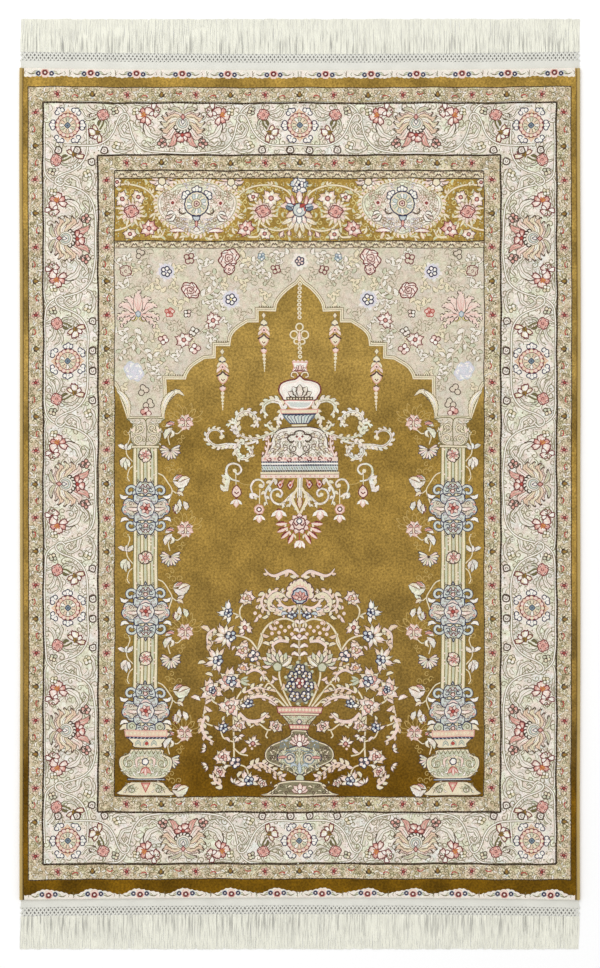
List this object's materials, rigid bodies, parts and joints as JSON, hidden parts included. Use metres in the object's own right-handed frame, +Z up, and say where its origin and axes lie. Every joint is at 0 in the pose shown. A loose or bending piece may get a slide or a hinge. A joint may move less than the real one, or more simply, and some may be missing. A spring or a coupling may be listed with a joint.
{
  "type": "prayer rug",
  "caption": "Flat pile prayer rug with a niche pattern, overcast long edges, flat white woven ends and a knotted, trimmed fringe at both ends.",
  "frame": {"origin": "on the surface the rug lies on, under the middle of its overall length and width", "axes": "+X across the rug, +Y along it towards the end the niche points to, +Z up out of the pile"},
  "size_m": [0.8014, 1.3296, 0.0068],
  "materials": {
    "pile": "dense short cut pile, slightly lustrous",
    "binding": "matt overcast yarn",
    "warp": "matt off-white twisted yarn"
  },
  "bodies": {
    "root": {"rug_body": "pile", "selvedge_left": "binding", "selvedge_right": "binding", "fringe_arch_end": "warp", "fringe_foot_end": "warp"}
  },
  "joints": []
}
